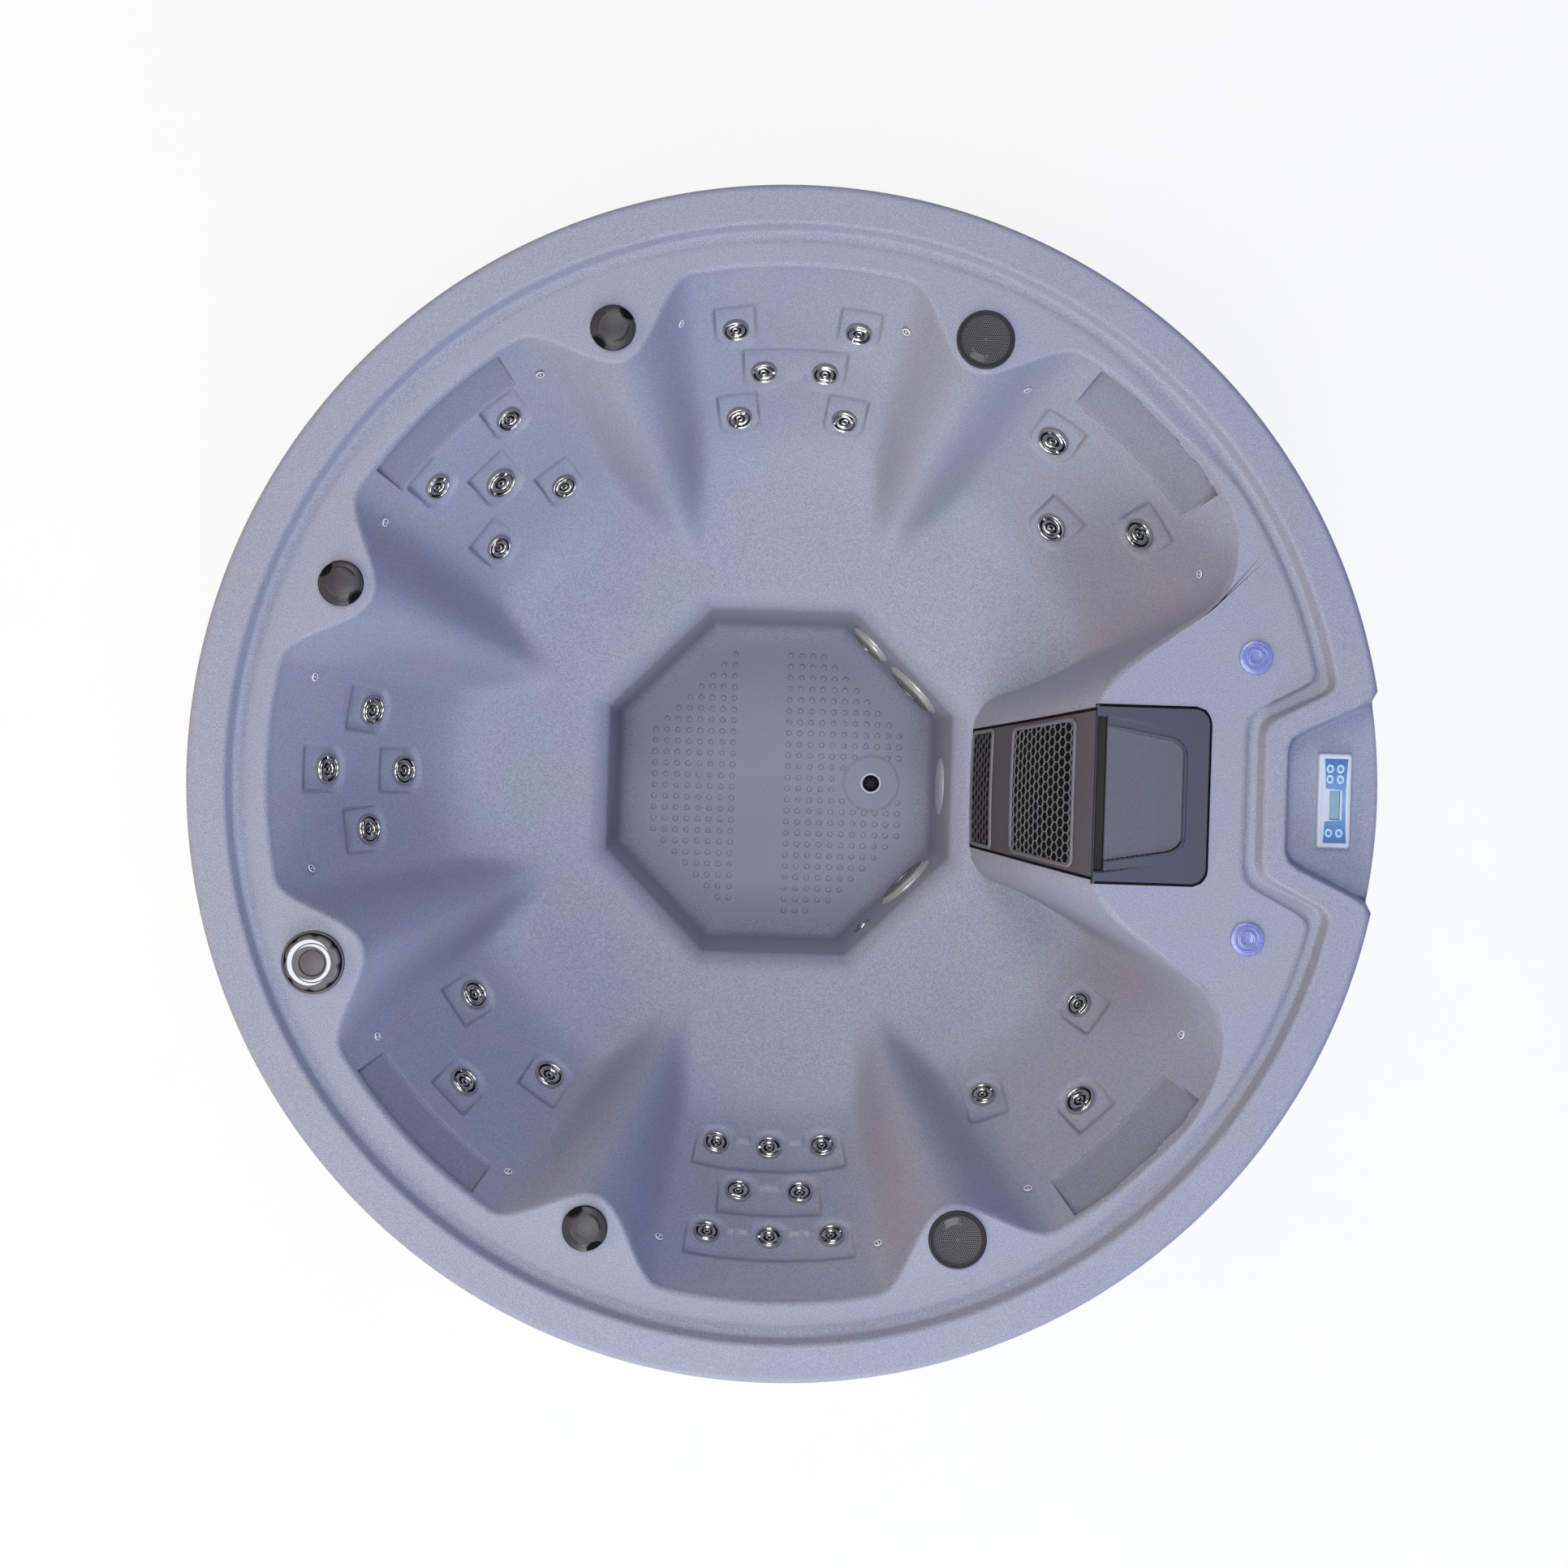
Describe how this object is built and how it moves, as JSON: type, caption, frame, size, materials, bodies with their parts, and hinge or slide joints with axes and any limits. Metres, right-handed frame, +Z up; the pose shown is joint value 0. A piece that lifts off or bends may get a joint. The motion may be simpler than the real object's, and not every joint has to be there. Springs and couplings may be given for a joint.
{
  "type": "hot tub",
  "caption": "Round hot tub with a moulded grey shell, scalloped lounge seats, a deep octagonal footwell, turning jets, a hinged filter lid and a control panel with sprung keys.",
  "frame": {"origin": "centre of the flat base on the ground", "axes": "+Z up out of the tub; +X from the centre to the control bay and the filter; +Y to the left when facing the control bay from the centre"},
  "size_m": [2, 2, 0.88],
  "materials": {
    "cabinet_wall": "matt, fluted",
    "smoke_knob": "satin",
    "panel_frame": "satin with a printed overlay",
    "clear_lens": "frosted translucent",
    "pump_black": "moulded",
    "filter_pleats": "pleated cloth",
    "dark_grey_moulding": "satin moulded",
    "chrome": "polished",
    "panel_key": "soft gloss",
    "granite_shell": "matt, fine speckle",
    "blue_cap": "tinted translucent"
  },
  "bodies": {
    "tub": {"access_panel": "cabinet_wall", "cabinet": "cabinet_wall", "control_panel": "panel_frame", "drain": "clear_lens", "equipment_pack": "pump_black", "filter_cartridge": "filter_pleats", "filter_fascia": "dark_grey_moulding", "filter_housing": "dark_grey_moulding", "footwell_light": "clear_lens", "speaker_left": "dark_grey_moulding", "speaker_right": "dark_grey_moulding", "suction_left_large": "chrome", "suction_left_small": "chrome", "suction_right_large": "chrome", "tub_shell": "granite_shell"},
    "filter_lid_body": {"filter_lid": "dark_grey_moulding"},
    "panel_key_1_body": {"panel_key_1": "panel_key"},
    "panel_key_2_body": {"panel_key_2": "panel_key"},
    "panel_key_3_body": {"panel_key_3": "panel_key"},
    "panel_key_4_body": {"panel_key_4": "panel_key"},
    "panel_key_5_body": {"panel_key_5": "panel_key"},
    "panel_key_6_body": {"panel_key_6": "panel_key"},
    "air_knob_left_body": {"air_knob_left": "smoke_knob"},
    "air_knob_back_body": {"air_knob_back": "smoke_knob"},
    "air_knob_front_body": {"air_knob_front": "smoke_knob"},
    "diverter_handle_body": {"diverter_handle": "smoke_knob"},
    "valve_cap_left_body": {"valve_cap_left": "blue_cap"},
    "valve_cap_right_body": {"valve_cap_right": "blue_cap"},
    "jet_01_body": {"jet_01": "chrome"},
    "jet_02_body": {"jet_02": "chrome"},
    "jet_03_body": {"jet_03": "chrome"},
    "jet_04_body": {"jet_04": "chrome"},
    "jet_05_body": {"jet_05": "chrome"},
    "jet_06_body": {"jet_06": "chrome"},
    "jet_07_body": {"jet_07": "chrome"},
    "jet_08_body": {"jet_08": "chrome"},
    "jet_09_body": {"jet_09": "chrome"},
    "jet_10_body": {"jet_10": "chrome"},
    "jet_11_body": {"jet_11": "chrome"},
    "jet_12_body": {"jet_12": "chrome"},
    "jet_13_body": {"jet_13": "chrome"},
    "jet_14_body": {"jet_14": "chrome"},
    "jet_15_body": {"jet_15": "chrome"},
    "jet_16_body": {"jet_16": "chrome"},
    "jet_17_body": {"jet_17": "chrome"},
    "jet_18_body": {"jet_18": "chrome"},
    "jet_19_body": {"jet_19": "chrome"},
    "jet_20_body": {"jet_20": "chrome"},
    "jet_21_body": {"jet_21": "chrome"},
    "jet_22_body": {"jet_22": "chrome"},
    "jet_23_body": {"jet_23": "chrome"},
    "jet_24_body": {"jet_24": "chrome"},
    "jet_25_body": {"jet_25": "chrome"},
    "jet_26_body": {"jet_26": "chrome"},
    "jet_27_body": {"jet_27": "chrome"},
    "jet_28_body": {"jet_28": "chrome"},
    "jet_29_body": {"jet_29": "chrome"},
    "jet_30_body": {"jet_30": "chrome"},
    "jet_31_body": {"jet_31": "chrome"},
    "jet_32_body": {"jet_32": "chrome"}
  },
  "joints": [
    {"name": "filter_lid_hinge", "type": "hinge", "parent": "tub", "child": "filter_lid_body", "pos_m": [0.7104, 0, 0.861], "axis": [0, 1, 0], "range_deg": [0, 100]},
    {"name": "panel_key_1_press", "type": "slide", "parent": "tub", "child": "panel_key_1_body", "axis": [0, 0, -1], "range_m": [0, 0.0008], "stiffness_N_per_m": 300},
    {"name": "panel_key_2_press", "type": "slide", "parent": "tub", "child": "panel_key_2_body", "axis": [0, 0, -1], "range_m": [0, 0.0008], "stiffness_N_per_m": 300},
    {"name": "panel_key_3_press", "type": "slide", "parent": "tub", "child": "panel_key_3_body", "axis": [0, 0, -1], "range_m": [0, 0.0008], "stiffness_N_per_m": 300},
    {"name": "panel_key_4_press", "type": "slide", "parent": "tub", "child": "panel_key_4_body", "axis": [0, 0, -1], "range_m": [0, 0.0008], "stiffness_N_per_m": 300},
    {"name": "panel_key_5_press", "type": "slide", "parent": "tub", "child": "panel_key_5_body", "axis": [0, 0, -1], "range_m": [0, 0.0008], "stiffness_N_per_m": 300},
    {"name": "panel_key_6_press", "type": "slide", "parent": "tub", "child": "panel_key_6_body", "axis": [0, 0, -1], "range_m": [0, 0.0008], "stiffness_N_per_m": 300},
    {"name": "air_knob_left_turn", "type": "hinge", "parent": "tub", "child": "air_knob_left_body", "pos_m": [-0.75292, 0.31187, 0.858], "axis": [0, 0, 1], "range_deg": [0, 180]},
    {"name": "air_knob_back_turn", "type": "hinge", "parent": "tub", "child": "air_knob_back_body", "pos_m": [-0.31187, 0.75292, 0.858], "axis": [0, 0, 1], "range_deg": [0, 180]},
    {"name": "air_knob_front_turn", "type": "hinge", "parent": "tub", "child": "air_knob_front_body", "pos_m": [-0.31187, -0.75292, 0.858], "axis": [0, 0, 1], "range_deg": [0, 180]},
    {"name": "diverter_turn", "type": "hinge", "parent": "tub", "child": "diverter_handle_body", "pos_m": [-0.77983, -0.32301, 0.858], "axis": [0, 0, 1], "range_deg": [0, 180]},
    {"name": "valve_cap_left_turn", "type": "hinge", "parent": "tub", "child": "valve_cap_left_body", "pos_m": [0.78018, 0.23555, 0.858], "axis": [0, 0, 1], "range_deg": [0, 90]},
    {"name": "valve_cap_right_turn", "type": "hinge", "parent": "tub", "child": "valve_cap_right_body", "pos_m": [0.78018, -0.23555, 0.858], "axis": [0, 0, 1], "range_deg": [0, 90]},
    {"name": "jet_01_turn", "type": "hinge", "parent": "tub", "child": "jet_01_body", "pos_m": [0.10572, 0.7755, 0.71201], "axis": [-0.1095, -0.802, 0.5872], "range_deg": [0, 90]},
    {"name": "jet_02_turn", "type": "hinge", "parent": "tub", "child": "jet_02_body", "pos_m": [-0.10572, 0.7755, 0.71201], "axis": [0.1095, -0.802, 0.5872], "range_deg": [0, 90]},
    {"name": "jet_03_turn", "type": "hinge", "parent": "tub", "child": "jet_03_body", "pos_m": [0.05362, 0.71717, 0.61511], "axis": [-0.0601, -0.7855, 0.6159], "range_deg": [0, 90]},
    {"name": "jet_04_turn", "type": "hinge", "parent": "tub", "child": "jet_04_body", "pos_m": [-0.05362, 0.71717, 0.61511], "axis": [0.0601, -0.7855, 0.6159], "range_deg": [0, 90]},
    {"name": "jet_05_turn", "type": "hinge", "parent": "tub", "child": "jet_05_body", "pos_m": [0.09332, 0.64574, 0.52404], "axis": [-0.1285, -0.709, 0.6934], "range_deg": [0, 90]},
    {"name": "jet_06_turn", "type": "hinge", "parent": "tub", "child": "jet_06_body", "pos_m": [-0.09332, 0.64574, 0.52404], "axis": [0.1287, -0.709, 0.6934], "range_deg": [0, 90]},
    {"name": "jet_07_turn", "type": "hinge", "parent": "tub", "child": "jet_07_body", "pos_m": [0.60735, 0.45192, 0.6493], "axis": [-0.6874, -0.4328, 0.5833], "range_deg": [0, 90]},
    {"name": "jet_08_turn", "type": "hinge", "parent": "tub", "child": "jet_08_body", "pos_m": [0.45199, 0.6073, 0.65908], "axis": [-0.4463, -0.678, 0.584], "range_deg": [0, 90]},
    {"name": "jet_09_turn", "type": "hinge", "parent": "tub", "child": "jet_09_body", "pos_m": [0.46876, 0.46887, 0.52092], "axis": [-0.4926, -0.5164, 0.7005], "range_deg": [0, 90]},
    {"name": "jet_10_turn", "type": "hinge", "parent": "tub", "child": "jet_10_body", "pos_m": [0.37801, -0.54457, 0.52788], "axis": [-0.1779, 0.7297, 0.6602], "range_deg": [0, 90]},
    {"name": "jet_11_turn", "type": "hinge", "parent": "tub", "child": "jet_11_body", "pos_m": [0.54393, -0.3791, 0.51838], "axis": [-0.5882, 0.4109, 0.6966], "range_deg": [0, 90]},
    {"name": "jet_12_turn", "type": "hinge", "parent": "tub", "child": "jet_12_body", "pos_m": [0.53523, -0.53537, 0.65112], "axis": [-0.5559, 0.5855, 0.59], "range_deg": [0, 90]},
    {"name": "jet_13_turn", "type": "hinge", "parent": "tub", "child": "jet_13_body", "pos_m": [-0.09464, -0.64554, 0.52405], "axis": [0.142, 0.7067, 0.6931], "range_deg": [0, 90]},
    {"name": "jet_14_turn", "type": "hinge", "parent": "tub", "child": "jet_14_body", "pos_m": [0, -0.65243, 0.52329], "axis": [0, 0.7178, 0.6963], "range_deg": [0, 90]},
    {"name": "jet_15_turn", "type": "hinge", "parent": "tub", "child": "jet_15_body", "pos_m": [0.09464, -0.64554, 0.52405], "axis": [-0.1424, 0.7066, 0.6931], "range_deg": [0, 90]},
    {"name": "jet_16_turn", "type": "hinge", "parent": "tub", "child": "jet_16_body", "pos_m": [-0.05362, -0.71717, 0.61511], "axis": [0.0601, 0.7855, 0.6159], "range_deg": [0, 90]},
    {"name": "jet_17_turn", "type": "hinge", "parent": "tub", "child": "jet_17_body", "pos_m": [0.05362, -0.71717, 0.61511], "axis": [-0.0601, 0.7855, 0.6159], "range_deg": [0, 90]},
    {"name": "jet_18_turn", "type": "hinge", "parent": "tub", "child": "jet_18_body", "pos_m": [-0.10724, -0.77529, 0.71203], "axis": [0.1111, 0.8018, 0.5872], "range_deg": [0, 90]},
    {"name": "jet_19_turn", "type": "hinge", "parent": "tub", "child": "jet_19_body", "pos_m": [0, -0.78267, 0.71064], "axis": [0, 0.809, 0.5878], "range_deg": [0, 90]},
    {"name": "jet_20_turn", "type": "hinge", "parent": "tub", "child": "jet_20_body", "pos_m": [0.10724, -0.77529, 0.71203], "axis": [-0.1111, 0.8018, 0.5872], "range_deg": [0, 90]},
    {"name": "jet_21_turn", "type": "hinge", "parent": "tub", "child": "jet_21_body", "pos_m": [-0.53278, -0.39486, 0.53839], "axis": [0.63, 0.4079, 0.6608], "range_deg": [0, 90]},
    {"name": "jet_22_turn", "type": "hinge", "parent": "tub", "child": "jet_22_body", "pos_m": [-0.39486, -0.53279, 0.53839], "axis": [0.4072, 0.6305, 0.6608], "range_deg": [0, 90]},
    {"name": "jet_23_turn", "type": "hinge", "parent": "tub", "child": "jet_23_body", "pos_m": [-0.5353, -0.5353, 0.67114], "axis": [0.5728, 0.5728, 0.5864], "range_deg": [0, 90]},
    {"name": "jet_24_turn", "type": "hinge", "parent": "tub", "child": "jet_24_body", "pos_m": [-0.78422, 0, 0.71294], "axis": [0.8115, 0, 0.5844], "range_deg": [0, 90]},
    {"name": "jet_25_turn", "type": "hinge", "parent": "tub", "child": "jet_25_body", "pos_m": [-0.71932, 0.1038, 0.62595], "axis": [0.788, -0.1112, 0.6056], "range_deg": [0, 90]},
    {"name": "jet_26_turn", "type": "hinge", "parent": "tub", "child": "jet_26_body", "pos_m": [-0.71932, -0.1038, 0.62595], "axis": [0.788, 0.1112, 0.6056], "range_deg": [0, 90]},
    {"name": "jet_27_turn", "type": "hinge", "parent": "tub", "child": "jet_27_body", "pos_m": [-0.66925, 0, 0.54565], "axis": [0.7616, 0, 0.6481], "range_deg": [0, 90]},
    {"name": "jet_28_turn", "type": "hinge", "parent": "tub", "child": "jet_28_body", "pos_m": [-0.49056, 0.60986, 0.71116], "axis": [0.5071, -0.6305, 0.5876], "range_deg": [0, 90]},
    {"name": "jet_29_turn", "type": "hinge", "parent": "tub", "child": "jet_29_body", "pos_m": [-0.60986, 0.49056, 0.71116], "axis": [0.6305, -0.5071, 0.5876], "range_deg": [0, 90]},
    {"name": "jet_30_turn", "type": "hinge", "parent": "tub", "child": "jet_30_body", "pos_m": [-0.50856, 0.50856, 0.61421], "axis": [0.5588, -0.5588, 0.6127], "range_deg": [0, 90]},
    {"name": "jet_31_turn", "type": "hinge", "parent": "tub", "child": "jet_31_body", "pos_m": [-0.40192, 0.51395, 0.52384], "axis": [0.4451, -0.5655, 0.6943], "range_deg": [0, 90]},
    {"name": "jet_32_turn", "type": "hinge", "parent": "tub", "child": "jet_32_body", "pos_m": [-0.51395, 0.40192, 0.52384], "axis": [0.5655, -0.4451, 0.6943], "range_deg": [0, 90]}
  ]
}
